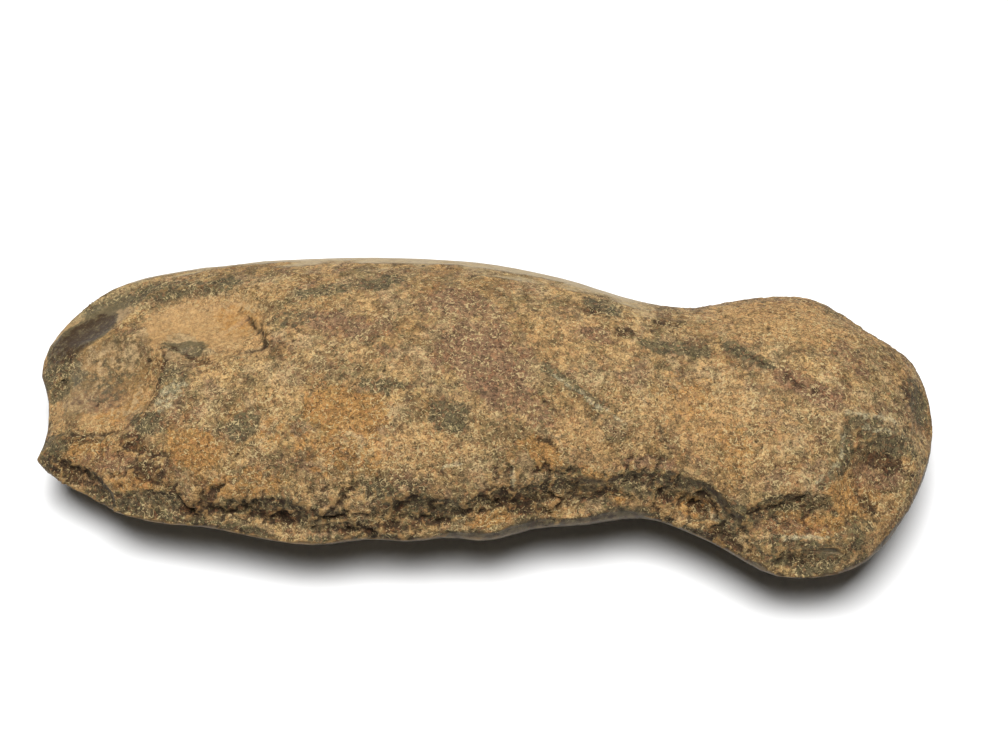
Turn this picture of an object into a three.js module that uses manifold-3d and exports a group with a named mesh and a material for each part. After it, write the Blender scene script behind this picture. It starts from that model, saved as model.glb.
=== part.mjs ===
// A waisted stone axe head, lying on its flatter face as a loose find lies on a table.
// Units are millimetres. +X runs along the head from the cutting edge to the butt, +Y runs
// from its near side to its far side, +Z is up, and the origin is under the middle of the
// head, on the surface that it rests on.
//
// The head was ground to a lens-shaped section, with a pecked waist for the haft's binding.
// The solid is that ground form, less the flakes that have been struck from it since. Each
// flake scar is an ellipsoid taken out of the surface, which leaves the crisp edge of a break.

import * as THREE from "three";
import { mergeVertices } from "three/addons/utils/BufferGeometryUtils.js";
import Module from "manifold-3d";

// ---------------------------------------------------------------- driving dimensions

const GIRDLE_STEPS = 124; // points round the head, on its widest line
const SPINE_PITCH = 4; // spacing of the points on the crest and belly lines
const RINGS_ABOVE = 9; // rings from the widest line up to the crest
const RINGS_BELOW = 7; // rings from the widest line down to the belly
const RESTING_PLANE = 0; // height that the belly is flattened at

// The widest line of the head, as [x, y, z]. It starts at the far corner of the cutting
// edge and runs along the far side, round the butt and back along the near side.
const GIRDLE = [
  [-96.6, 3.5, 12],
  [-96, 11.5, 13],
  [-86, 25.2, 15],
  [-67, 33.2, 15],
  [-40, 37.5, 15],
  [-8, 38.8, 15],
  [14, 35.6, 15],
  [31, 30.6, 15],
  [43, 29.4, 15],
  [55, 33.2, 15],
  [70, 34.3, 15],
  [80, 27.6, 15],
  [90, 20, 15],
  [93.8, 7, 15],
  [91.9, -8.4, 15],
  [82.7, -25.4, 14],
  [75.2, -32, 14],
  [61.5, -34.2, 14],
  [47, -26.9, 14],
  [34, -22.7, 14],
  [22, -25.3, 14],
  [12.5, -26.8, 14],
  [3, -30.5, 14],
  [-5, -30.3, 14],
  [-13, -32, 14],
  [-21, -32, 14],
  [-33, -34.4, 14],
  [-55, -31.9, 14],
  [-66, -31.6, 14],
  [-79.2, -27.2, 13],
  [-84.8, -23.2, 12],
  [-89.8, -20.4, 12],
  [-92.8, -17.4, 12],
  [-91.8, -13.4, 12],
  [-92.6, -6.6, 12],
  [-94, -1.4, 12],
];

// The crest and belly lines, as [x, y, crest z, belly z].
const SPINE = [
  [-60, 3, 24.5, 3],
  [-40, 3, 29.5, 0],
  [-10, 4, 32.5, -1.6],
  [20, 4, 31.5, -1.4],
  [40, 4, 29.5, 0.3],
  [60, 1, 29.5, -0.8],
];
const SPINE_REACH = 68; // half the length that the spine would have if it had no end

const FULLNESS = { edge: 1.7, side: 2.3, butt: 2.6 }; // how far the crest carries outwards
const ROUNDING = 0.72; // how the section meets the widest line: 0.5 is an ellipse

// Flake scars, each named for where it lies. at is a point beside the skin where the scar is
// deepest, size its half length and half width, turn its direction in plan and facing the way
// that its floor looks.
const SCARS = {
  edgeFacet: { at: [-85.6, 13.6, 18], size: [17.5, 9.2], depth: 1.4, turn: 44, facing: [-0.42, 0.3, 1] },
  edgeUpper: { at: [-66, 11.5, 24], size: [17, 10.5], depth: 2.2, turn: -8, facing: [-0.12, 0.26, 1] },
  edgeLower: { at: [-79, -3.6, 20], size: [14, 11.5], depth: 2.8, turn: 0, facing: [-0.3, -0.05, 1] },
  edgeBreak: { at: [-90.6, -7.5, 16], size: [3.4, 6.5], depth: 0.4, turn: 0, facing: [-0.7, 0, 1] },
  tipChip: { at: [-83, -22.5, 14], size: [9, 3.6], depth: 1.2, turn: -32, facing: [-0.3, -0.8, 1] },
  nearOne: { at: [-67, -28.6, 15], size: [14, 4.4], depth: 1.5, turn: -8, facing: [-0.1, -1, 1] },
  nearTwo: { at: [-45, -30.4, 16], size: [15, 4.8], depth: 1.6, turn: 0, facing: [0, -1, 1] },
  nearThree: { at: [-27, -31.4, 16], size: [8.5, 3.4], depth: 1.4, turn: 2, facing: [0, -1.1, 1] },
  nearFour: { at: [-10, -28.6, 17], size: [12, 4.8], depth: 1.6, turn: 3, facing: [0.1, -1, 1] },
  nearFive: { at: [4.5, -26.6, 18], size: [8.5, 4.6], depth: 1.5, turn: 12, facing: [0.15, -1, 1] },
  nearSix: { at: [20.5, -22.7, 18], size: [12, 4.8], depth: 1.5, turn: 8, facing: [0.15, -1, 1] },
  nearWaist: { at: [38, -20.3, 18], size: [10, 5.2], depth: 1.6, turn: -8, facing: [-0.1, -1, 1] },
  nearLobe: { at: [51, -26.6, 17], size: [8.5, 4.2], depth: 1.3, turn: -32, facing: [-0.4, -1, 1] },
  buttUpper: { at: [65, -25.5, 21], size: [18.5, 7.2], depth: 2.8, turn: 12, facing: [0, -0.8, 1] },
  buttLens: { at: [66, -31.6, 16], size: [14, 4.7], depth: 1.9, turn: 4, facing: [0.1, -1.3, 1] },
  buttCorner: { at: [80, -15.2, 22], size: [15.5, 9.6], depth: 2.5, turn: 58, facing: [0.5, -0.45, 1] },
  buttRim: { at: [90.2, 1, 18], size: [11, 5.5], depth: 1.3, turn: 85, facing: [1, 0, 1] },
  buttFar: { at: [82.4, 24.5, 17], size: [8, 3.5], depth: 0.7, turn: -38, facing: [0.7, 0.9, 1] },
  farDent: { at: [-60.4, 33.5, 16], size: [8, 3.6], depth: 1, turn: 10, facing: [-0.1, 1.6, 1] },
  underEdgeFar: { at: [-80, 16, 7], size: [15, 9], depth: 1.5, turn: 40, facing: [-0.3, 0.25, -1] },
  underEdgeNear: { at: [-74, -14, 6], size: [12, 8], depth: 1.3, turn: -25, facing: [-0.2, -0.2, -1] },
  underNear: { at: [-20, -27.4, 8], size: [15, 6.5], depth: 1.3, turn: 2, facing: [0, -0.8, -1] },
  underFar: { at: [-2, 32.6, 7], size: [17, 6], depth: 1.2, turn: -8, facing: [0, 0.9, -1] },
  underButt: { at: [80, -12, 5], size: [12, 9], depth: 1.5, turn: 62, facing: [0.5, -0.3, -1] },
};
const SCAR_CUP = 0.35; // depth over height of each ellipsoid: less is a shallower rim
const SCAR_DETAIL = [22, 13]; // segments round and over each ellipsoid
const CLEAR_OF_SKIN = 30; // how far off the skin a scar is dropped onto it from

// ---------------------------------------------------------------- the ground form

const UP = new THREE.Vector3(0, 0, 1);
const vector = ([x, y, z]) => new THREE.Vector3(x, y, z);
const girdleCurve = new THREE.CatmullRomCurve3(GIRDLE.map(vector), true, "centripetal");

/** Value at x on the smooth line through [x, value] pairs, held at its ends. */
function along(pairs, x) {
  const last = pairs.length - 1;
  if (x <= pairs[0][0]) return pairs[0][1];
  if (x >= pairs[last][0]) return pairs[last][1];
  const i = pairs.findIndex((pair, k) => x < pairs[k + 1][0]);
  const slope = (k) => {
    const [before, after] = [pairs[Math.max(k - 1, 0)], pairs[Math.min(k + 1, last)]];
    return (after[1] - before[1]) / (after[0] - before[0]);
  };
  const width = pairs[i + 1][0] - pairs[i][0];
  const t = (x - pairs[i][0]) / width;
  const blend = t * t * (3 - 2 * t);
  return (
    (1 - blend) * pairs[i][1] +
    blend * pairs[i + 1][1] +
    t * (1 - t) * width * ((1 - t) * slope(i) - t * slope(i + 1))
  );
}

const spineLine = (column) => SPINE.map((row) => [row[0], row[column]]);
const [spineY, crestZ, bellyZ] = [1, 2, 3].map(spineLine);

/** How full the section is between spine and widest line, beside a point x of that line. */
function fullness(x) {
  const toEdge = THREE.MathUtils.smoothstep(-x, 40, 85);
  const toButt = THREE.MathUtils.smoothstep(x, 55, 85);
  return FULLNESS.side + toEdge * (FULLNESS.edge - FULLNESS.side) + toButt * (FULLNESS.butt - FULLNESS.side);
}

/** A point of the skin: out is 1 on the widest line and 0 on the spine. */
function skinPoint(rim, out, heights) {
  const onSpine = SPINE_REACH * Math.tanh(rim.x / SPINE_REACH);
  const x = out > 0 ? onSpine : Math.round(onSpine / SPINE_PITCH) * SPINE_PITCH;
  const foot = new THREE.Vector3(x, along(spineY, x), rim.z);
  const rise = (1 - out ** fullness(rim.x)) ** ROUNDING;
  const height = foot.z + (along(heights, x) - foot.z) * rise;
  return foot.lerp(rim, out).setZ(height);
}

/** The closed skin of the ground form, as an indexed geometry. */
function groundForm() {
  const rims = Array.from({ length: GIRDLE_STEPS }, (_, i) => girdleCurve.getPointAt(i / GIRDLE_STEPS));
  const points = [...rims];
  const faces = [];
  const skins = [
    { heights: crestZ, rings: RINGS_ABOVE, faceUp: true },
    { heights: bellyZ, rings: RINGS_BELOW, faceUp: false },
  ];
  for (const { heights, rings, faceUp } of skins) {
    for (let k = 1, outer = 0; k <= rings; k++) {
      const inner = points.length;
      const out = k < rings ? Math.cos(((k / rings) * Math.PI) / 2) : 0;
      points.push(...rims.map((rim) => skinPoint(rim, out, heights)));
      for (let i = 0; i < GIRDLE_STEPS; i++) {
        const j = (i + 1) % GIRDLE_STEPS;
        const [a, b, c, d] = [outer + i, inner + i, inner + j, outer + j];
        faces.push(...(faceUp ? [a, b, d, d, b, c] : [a, d, b, d, c, b]));
      }
      outer = inner;
    }
  }
  const form = new THREE.BufferGeometry();
  form.setAttribute("position", new THREE.Float32BufferAttribute(points.flatMap((p) => p.toArray()), 3));
  return form.setIndex(faces);
}

// ---------------------------------------------------------------- cutting

const wasm = await Module();
wasm.setup();

/** A closed three.js geometry as a solid, without the faces that merging has closed up. */
function solid(geometry) {
  const bare = geometry.clone();
  bare.deleteAttribute("normal");
  bare.deleteAttribute("uv");
  const merged = mergeVertices(bare, 1e-4);
  const faces = [];
  for (let i = 0; i < merged.index.count; i += 3) {
    const [a, b, c] = [0, 1, 2].map((k) => merged.index.getX(i + k));
    if (a !== b && b !== c && c !== a) faces.push(a, b, c);
  }
  return new wasm.Manifold(
    new wasm.Mesh({
      numProp: 3,
      vertProperties: merged.attributes.position.array,
      triVerts: new Uint32Array(faces),
    }),
  );
}

/** A solid as a three.js geometry. */
function geometryOf(made) {
  const mesh = made.getMesh();
  const geometry = new THREE.BufferGeometry();
  geometry.setAttribute("position", new THREE.Float32BufferAttribute(mesh.vertProperties, 3));
  return geometry.setIndex([...mesh.triVerts]);
}

/** The ellipsoid whose innermost cap is one flake scar in a skin. */
function scar({ at, size, depth, turn, facing }, skin) {
  const outward = vector(facing).normalize();
  const start = vector(at).addScaledVector(outward, CLEAR_OF_SKIN);
  const [landing] = new THREE.Raycaster(start, outward.clone().negate()).intersectObject(skin);
  const height = depth / SCAR_CUP;
  const middle = landing.point.addScaledVector(outward, height - depth);
  const spread = 1 / Math.sqrt(1 - (1 - SCAR_CUP) ** 2); // ellipsoid over its footprint
  const upright = UP.clone().multiplyScalar(Math.sign(outward.z));
  const tilt = new THREE.Quaternion().setFromUnitVectors(upright, outward);
  const spin = new THREE.Quaternion().setFromAxisAngle(UP, THREE.MathUtils.degToRad(turn));
  const stretch = new THREE.Vector3(size[0] * spread, size[1] * spread, height);
  return solid(
    new THREE.SphereGeometry(1, ...SCAR_DETAIL)
      .rotateX(Math.PI / 2)
      .applyMatrix4(new THREE.Matrix4().compose(middle, tilt.multiply(spin), stretch)),
  );
}

/** A cube wider than the head is long, reaching up to a level plane. */
function blockUpTo(plane) {
  const side = 2 * girdleCurve.getLength();
  return solid(new THREE.BoxGeometry(side, side, side).translate(0, 0, plane - side / 2));
}

// ---------------------------------------------------------------- the axe head

const ground = new THREE.Mesh(groundForm());
let head = solid(ground.geometry);
for (const flake of Object.values(SCARS)) head = head.subtract(scar(flake, ground));
head = head.subtract(blockUpTo(RESTING_PLANE));

const geometry = geometryOf(head);
geometry.computeBoundingBox();
const { min, max } = geometry.boundingBox;
geometry.translate(-(min.x + max.x) / 2, -(min.y + max.y) / 2, -min.z);

const material = new THREE.MeshStandardMaterial({ color: 0x8c6f4a, roughness: 0.75, metalness: 0 });
const axeHead = new THREE.Mesh(geometry, material);
axeHead.name = "axe_head";

const axe = new THREE.Group();
axe.add(axeHead);
export default axe;
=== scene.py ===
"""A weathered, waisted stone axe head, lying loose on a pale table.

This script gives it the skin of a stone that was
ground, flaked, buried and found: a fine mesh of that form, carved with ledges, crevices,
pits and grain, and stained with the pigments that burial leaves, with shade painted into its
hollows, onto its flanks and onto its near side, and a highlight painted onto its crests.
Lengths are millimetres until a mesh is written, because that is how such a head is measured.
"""

import itertools
import logging
import math
from dataclasses import dataclass, field
from enum import Enum

import bpy
import numpy as np
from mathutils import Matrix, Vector


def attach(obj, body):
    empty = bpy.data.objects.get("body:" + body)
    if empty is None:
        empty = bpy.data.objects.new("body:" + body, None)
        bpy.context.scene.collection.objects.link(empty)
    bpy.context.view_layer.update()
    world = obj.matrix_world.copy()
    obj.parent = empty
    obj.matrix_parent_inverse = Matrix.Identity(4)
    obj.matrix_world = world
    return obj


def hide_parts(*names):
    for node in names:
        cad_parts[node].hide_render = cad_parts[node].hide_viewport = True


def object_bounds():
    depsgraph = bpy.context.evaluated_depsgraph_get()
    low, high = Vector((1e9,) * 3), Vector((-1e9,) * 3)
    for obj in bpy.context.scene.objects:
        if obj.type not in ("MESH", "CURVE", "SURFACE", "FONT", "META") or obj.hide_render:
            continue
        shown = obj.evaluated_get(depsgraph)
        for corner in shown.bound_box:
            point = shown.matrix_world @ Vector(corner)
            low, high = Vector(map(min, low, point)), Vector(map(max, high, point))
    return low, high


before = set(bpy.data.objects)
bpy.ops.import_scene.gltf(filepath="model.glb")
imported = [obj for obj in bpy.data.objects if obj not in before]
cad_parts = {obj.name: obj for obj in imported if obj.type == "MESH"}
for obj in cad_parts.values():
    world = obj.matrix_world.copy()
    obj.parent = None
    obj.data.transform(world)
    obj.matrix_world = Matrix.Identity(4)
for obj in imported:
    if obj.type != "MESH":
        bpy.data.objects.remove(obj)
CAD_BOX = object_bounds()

log = logging.getLogger("stone_axe")

WHITE = (1.0, 1.0, 1.0, 1.0)
METRE = 0.001  # metres in a millimetre
Path = tuple[tuple[float, float], ...]


class Pigment(Enum):
    """What colours the skin, each kept as one mask on the mesh."""

    OLIVE = "olive"  # grey-green stone showing through the patina, and painted shade on the flanks and the near side
    UMBER = "umber"  # near-black earth held in the rough and the cracks, and painted shade under the steps, on the flanks and on the near side
    OCHRE = "ochre"  # yellow and orange iron stain
    PLUM = "plum"  # purple-brown stain
    CHALK = "chalk"  # pale fibres of lime
    GROUND = "ground"  # the smooth, ground and polished surface
    BARE = "bare"  # clean buff patina in the younger scars


OLIVE, UMBER, OCHRE, PLUM, CHALK, GROUND, BARE = Pigment


class Texture(Enum):
    """How the relief of the skin is made."""

    ROUGH = "rough"  # hackly, freshly broken stone
    SMOOTH = "smooth"  # ground stone, nearly free of relief


# ------------------------------------------------------------------ noise and curves


def smoothstep(low: float, high: float, value: np.ndarray) -> np.ndarray:
    """Eases from 0 at low to 1 at high.

    Args:
        low: Where the ease starts.
        high: Where it ends.
        value: The values to ease.

    Returns:
        The eased values, from 0 to 1.
    """
    t = np.clip((value - low) / (high - low), 0.0, 1.0)
    return t * t * (3.0 - 2.0 * t)


class StoneNoise:
    """Seeded gradient noise in space."""

    CELLS = 256

    def __init__(self, seed: int) -> None:
        """Shuffles the lattice.

        Args:
            seed: Picks one pattern.
        """
        generator = np.random.default_rng(seed)
        self._order = generator.permutation(self.CELLS)
        slopes = generator.normal(size=(self.CELLS, 3))
        self._slopes = slopes / np.linalg.norm(slopes, axis=1, keepdims=True)

    def at(self, points: np.ndarray, size: float) -> np.ndarray:
        """One layer of noise.

        Args:
            points: Places, in millimetres.
            size: How wide one lump is, in millimetres.

        Returns:
            Values from about -1 to 1.
        """
        scaled = points / size
        cell = np.floor(scaled).astype(np.int64)
        part = scaled - cell
        ease = part**3 * (part * (part * 6.0 - 15.0) + 10.0)
        total = np.zeros(len(points))
        for corner in itertools.product((0, 1), repeat=3):
            key = np.zeros(len(points), dtype=np.int64)
            for axis in range(3):
                key = self._order[(key + cell[:, axis] + corner[axis]) % self.CELLS]
            weight = np.where(np.array(corner) == 1, ease, 1.0 - ease).prod(axis=1)
            total += weight * ((part - corner) * self._slopes[key]).sum(axis=1)
        return total * 1.6

    def fractal(self, points: np.ndarray, size: float, layers: int = 4) -> np.ndarray:
        """Noise with ever finer layers.

        Args:
            points: Places, in millimetres.
            size: How wide the largest lumps are.
            layers: How many layers, each half the size of the last.

        Returns:
            Values from about -1 to 1.
        """
        total = np.zeros(len(points))
        for layer in range(layers):
            share = 0.5**layer
            total += share * self.at(points + 37.0 * layer, size * share)
        return total / 1.6

    def facets(
        self, points: np.ndarray, size: float, tilt: float = 0.5, jump: float = 0.4
    ) -> np.ndarray:
        """Flat chips that meet at sharp arrises, as in hackly broken stone.

        Args:
            points: Places, in millimetres.
            size: How wide one chip is.
            tilt: How steep the chips are.
            jump: How far they step up and down.

        Returns:
            Heights from about -1 to 1, as a share of the size.
        """
        scaled = points / size
        cell = np.floor(scaled).astype(np.int64)
        nearest = np.full(len(points), np.inf)
        height = np.zeros(len(points))
        for step in itertools.product((-1, 0, 1), repeat=3):
            key = np.zeros(len(points), dtype=np.int64)
            for axis in range(3):
                key = self._order[(key + cell[:, axis] + step[axis]) % self.CELLS]
            offset = scaled - cell - step - 0.5 - 0.45 * self._slopes[key]
            gap = (offset**2).sum(axis=1)
            closer = gap < nearest
            slope = self._slopes[(key + 71) % self.CELLS]
            chip = tilt * (offset * slope).sum(axis=1) + jump * slope[:, 0]
            height[closer], nearest[closer] = chip[closer], gap[closer]
        return height


def smooth_path(path: Path, pitch: float) -> np.ndarray:
    """Runs a smooth curve through points.

    Args:
        path: The points, in plan.
        pitch: How far apart the returned points are.

    Returns:
        Points of the curve, one row each.
    """
    knots = np.array(path, dtype=float)
    ends = np.vstack([2 * knots[0] - knots[1], knots, 2 * knots[-1] - knots[-2]])
    runs = []
    for a, b, c, d in zip(ends, ends[1:], ends[2:], ends[3:]):
        count = max(2, math.ceil(float(np.linalg.norm(c - b)) / pitch))
        t = np.arange(count)[:, None] / count
        runs.append(
            b
            + 0.5 * t * (c - a)
            + t**2 * (a - 2.5 * b + 2 * c - 0.5 * d)
            + t**3 * (1.5 * (b - c) + 0.5 * (d - a))
        )
    return np.vstack([*runs, knots[-1:]])


# ------------------------------------------------------------------ what is on the skin


@dataclass(frozen=True)
class Ledge:
    """A step in the skin: walking along the path, the ground on the left is lower."""

    path: Path
    height: float
    spread: float = 5.0  # how far the low side takes to come level again
    ragged: float = 0.5
    sharp: float = 0.9
    earth_and_shade: float = 0.8  # how dark the painted shadow under the step is


@dataclass(frozen=True)
class Crevice:
    """A crack along a path, or a rib where depth is negative."""

    path: Path
    depth: float
    width: float = 0.8
    ragged: float = 0.6
    earth_and_shade: float = 1.0


@dataclass(frozen=True)
class Streak:
    """A stain along a path."""

    pigment: Pigment
    path: Path
    width: float
    strength: float = 1.0
    ragged: float = 0.8


@dataclass(frozen=True)
class Stain:
    """A stain with a ragged, roughly oval edge, on the upper face or the belly."""

    pigment: Pigment
    at: tuple[float, float]
    size: tuple[float, float]
    turn: float = 0.0
    strength: float = 1.0
    soft: float = 0.35
    ragged: float = 0.5
    below: bool = False


@dataclass(frozen=True)
class Zone:
    """A stretch of the skin with one texture, oval in plan."""

    texture: Texture
    at: tuple[float, float]
    size: tuple[float, float]
    turn: float = 0.0
    strength: float = 1.0
    below: bool = False


@dataclass(frozen=True)
class Pit:
    """One small round hole in the upper face."""

    at: tuple[float, float]
    radius: float
    depth: float


LEDGES = (
    # the old scar at the far corner of the edge: its end, then its near side
    Ledge(
        ((-43.7, 0.2), (-44.3, 2.4), (-46.3, 6.3), (-48.6, 9.6), (-50.6, 12.2)),
        0.95, 6.0, 0.9, 0.9, 0.75,
    ),
    Ledge(
        ((-50.8, 12.0), (-52.0, 13.8), (-50.2, 15.8), (-50.5, 18.2), (-49.8, 22.0)),
        0.35, 5.0, 0.9, 1.2, 0.5,
    ),
    Ledge(
        ((-67.7, 4.5), (-64.0, 2.0), (-59.8, -1.1), (-57.0, -2.4), (-54.6, 0.0)),
        0.35, 4.0, 1.0, 1.6, 0.2,
    ),
    Ledge(((-55.0, -0.3), (-52.5, 0.9), (-48.5, 0.4), (-43.6, 0.0)), 0.45, 5.0, 0.9, 1.3, 0.3),
    # the younger scar that opens on the edge
    Ledge(
        ((-69.9, -16.6), (-68.7, -12.2), (-67.3, -8.0), (-66.9, -3.5), (-67.4, 1.4)),
        0.9, 4.5, 0.5, 2.4, 0.0,
    ),
    Ledge(((-67.6, 1.0), (-68.3, 5.4), (-70.5, 9.5)), 0.4, 4.0, 0.6, 2.0, 0.0),
    Ledge(
        ((-88.4, -15.6), (-82.6, -16.9), (-77.8, -17.5), (-73.0, -17.1), (-69.5, -16.4)),
        0.7, 4.5, 0.6, 1.3, 0.4,
    ),
    # the foot of the ground facet
    Ledge(((-67.4, 22.4), (-71.0, 18.2), (-75.6, 14.6), (-79.4, 12.4)), 0.2, 3.0, 0.5, 1.8, 0.0),
    Ledge(
        ((-79.2, 12.8), (-79.7, 7.4), (-81.4, 5.2), (-84.6, 3.6), (-91.0, 2.6)),
        0.35, 3.0, 0.5, 1.8, 0.2,
    ),
    # the broken corner of the butt
    Ledge(
        ((74.9, -6.6), (74.7, -11.6), (72.9, -15.8), (70.4, -20.0), (67.8, -23.6)),
        0.3, 5.0, 0.8, 1.5, 0.2,
    ),
    Ledge(((67.9, -23.4), (64.0, -24.8), (59.0, -26.0), (55.0, -27.6)), 0.7, 4.0, 0.6, 1.1, 0.6),
    Ledge(
        ((78.4, -30.6), (74.6, -31.2), (69.0, -30.7), (64.6, -30.6), (60.2, -31.4)),
        0.45, 3.0, 0.5, 1.1, 0.5,
    ),
    Ledge(((58.6, -30.4), (61.4, -28.8), (66.0, -27.8), (71.0, -28.4)), 0.35, 2.5, 0.5, 1.0, 0.4),
    # small lips on the near side of the face
    Ledge(((18.4, -19.2), (17.2, -17.6), (15.4, -16.8), (11.8, -16.6)), 0.6, 3.5, 0.7, 0.9, 0.6),
    Ledge(((9.4, -25.6), (5.4, -26.0), (1.4, -27.6)), 0.5, 3.0, 0.7),
    Ledge(((-57.0, -30.0), (-61.0, -28.2), (-66.0, -26.6)), 0.5, 3.0, 0.7),
)

CREVICES = (
    Crevice(((-57.9, -30.9), (-54.5, -32.4), (-49.5, -32.1), (-45.5, -32.4)), 1.0),
    Crevice(((-44.5, -32.2), (-41.0, -31.9), (-36.9, -32.5), (-33.4, -33.4)), 1.0, 0.9),
    Crevice(((-28.6, -33.9), (-25.9, -33.6), (-21.0, -33.6), (-17.0, -33.8)), 1.1, 0.9),
    Crevice(((-16.6, -33.6), (-13.9, -31.6), (-11.2, -30.8), (-7.6, -31.2)), 1.1, 1.0),
    Crevice(((-14.3, -31.4), (-13.4, -29.4), (-9.6, -28.6), (-5.0, -29.4)), 0.8),
    Crevice(((-7.4, -31.2), (-2.2, -30.2), (2.7, -28.6)), 0.9),
    Crevice(((5.0, -27.6), (7.8, -27.2), (11.4, -26.8), (16.2, -25.1)), 1.0),
    Crevice(((22.0, -24.4), (26.0, -23.2), (31.0, -22.2)), 0.6),
    Crevice(((36.0, -21.6), (40.3, -22.6), (45.7, -23.5), (49.2, -26.6), (52.6, -28.8)), 1.0, 0.9),
    Crevice(((46.9, -26.6), (49.9, -28.6), (53.4, -30.6), (57.6, -33.0)), 0.8),
    Crevice(((-30.6, -31.4), (-26.0, -31.0), (-22.6, -29.0), (-18.4, -27.4)), 0.5, 0.9, earth_and_shade=0.6),
    # the crack across the face of the butt, and the rib of clean stone beyond it
    Crevice(
        ((50.8, 8.4), (54.0, 6.8), (59.0, 3.8), (64.0, 0.4), (69.0, -1.4)),
        0.3, 0.6, earth_and_shade=0.5,
    ),
    Crevice(((74.4, -5.4), (80.0, -5.2), (86.0, -4.8), (90.8, -3.6)), -0.3, 0.9, earth_and_shade=0.0),
    Crevice(((13.7, -0.3), (20.2, -6.3), (25.8, -9.6), (34.4, -14.2)), -0.2, 1.0, earth_and_shade=0.0),
    Crevice(((-66.4, 3.4), (-65.4, 0.4), (-66.4, -3.4)), 0.35, 0.6, earth_and_shade=0.8),
)

STREAKS = (
    Streak(OLIVE, ((12.1, -0.5), (16.4, -3.1), (21.3, -7.0), (28.1, -10.3)), 1.2, 1.0, 0.5),
    Streak(CHALK, ((14.0, -2.0), (21.3, -7.4), (28.1, -10.7), (33.0, -13.4)), 0.6, 0.6, 0.5),
    Streak(OLIVE, ((31.5, 6.8), (40.2, 6.6), (48.9, 6.1)), 1.8, 1.1, 0.6),
    Streak(OLIVE, ((50.2, 9.4), (51.2, 8.6), (55.6, 5.6), (61.1, 2.6)), 1.4, 1.4, 0.4),
    Streak(PLUM, ((60.0, 2.8), (68.3, -1.7), (75.2, -4.6)), 2.3, 1.3, 0.5),
    Streak(UMBER, ((61.7, 1.9), (65.0, 0.2), (70.0, -2.4)), 1.0, 0.6, 0.6),
    Streak(
        OLIVE,
        ((74.7, -7.7), (75.4, -12.0), (74.6, -16.2), (71.6, -20.1), (68.3, -23.5)),
        1.5, 1.0, 0.6,
    ),
    Streak(CHALK, ((74.0, -9.0), (74.4, -14.0), (71.0, -19.6), (66.6, -23.6)), 0.6, 0.45, 0.6),
    Streak(OLIVE, ((68.5, -24.2), (60.8, -26.1), (56.4, -28.0), (54.2, -28.7)), 1.1, 1.2, 0.5),
    Streak(CHALK, ((73.7, -6.3), (79.4, -5.5), (87.4, -4.5)), 0.8, 0.6, 0.4),
    Streak(CHALK, ((77.0, -8.8), (83.0, -8.0), (89.6, -7.2)), 0.8, 0.4, 0.5),
    Streak(CHALK, ((62.0, -30.7), (67.5, -29.9), (72.9, -30.4)), 0.6, 0.8, 0.4),
    Streak(CHALK, ((-5.6, -23.5), (-1.1, -22.5)), 0.6, 0.7, 0.4),
    Streak(CHALK, ((8.6, -21.0), (9.6, -25.6)), 0.6, 0.8, 0.4),
    Streak(CHALK, ((44.0, -21.0), (48.0, -24.6), (52.0, -28.0)), 0.7, 0.6, 0.6),
    # umber along the step of the old scar: a painted shadow under the step
    Streak(UMBER, ((-51.5, 13.4), (-48.6, 8.8), (-44.3, 3.6), (-43.5, 0.3)), 0.7, 0.6, 0.4),
    Streak(
        BARE,
        ((-72.9, 14.6), (-69.6, 8.0), (-67.8, 1.9), (-67.8, -5.8), (-70.2, -13.4)),
        1.9, 1.3, 0.4,
    ),
    Streak(BARE, ((-83.4, -12.4), (-75.1, -14.6), (-70.8, -15.6)), 2.2, 1.3, 0.4),
    Streak(BARE, ((-91.4, -4.4), (-89.2, -8.0), (-87.6, -12.0), (-86.0, -15.4)), 1.7, 1.3, 0.3),
    Streak(
        UMBER,
        ((-68.1, 4.0), (-66.1, -0.6), (-66.1, -7.8), (-67.2, -11.9), (-69.6, -16.8)),
        0.7, 0.7, 0.5,
    ),
    Streak(UMBER, ((-66.6, 3.6), (-62.0, 1.4), (-58.6, -1.6), (-55.0, -1.8)), 0.7, 0.6),
    Streak(UMBER, ((-87.0, -16.6), (-82.6, -17.6), (-77.8, -18.0), (-72.4, -17.8)), 1.0, 0.8),
    Streak(
        OLIVE,
        ((-89.6, 13.0), (-84.4, 17.4), (-77.5, 18.9), (-69.6, 20.6), (-60.0, 21.6)),
        2.6, 1.3, 0.4,
    ),
    Streak(OLIVE, ((-21.2, -27.9), (-15.2, -28.9), (-7.8, -29.4), (-3.1, -30.9)), 1.9, 1.3, 0.5),
    Streak(OLIVE, ((-82.1, -25.1), (-66.4, -32.2), (-50.0, -34.8), (-34.9, -36.4)), 2.0, 1.2, 0.4),
    Streak(OLIVE, ((-34.9, -36.4), (-16.0, -35.0), (-2.5, -33.4), (12.0, -31.2)), 1.5, 1.0, 0.4),
    Streak(UMBER, ((-82.1, -24.6), (-66.4, -31.6), (-50.0, -34.2), (-34.9, -35.8)), 1.4, 0.4, 0.5),
    Streak(UMBER, ((-30.4, -34.2), (-22.0, -33.4), (-15.0, -32.6), (-2.5, -30.4)), 0.8, 0.8, 0.6),
)

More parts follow.
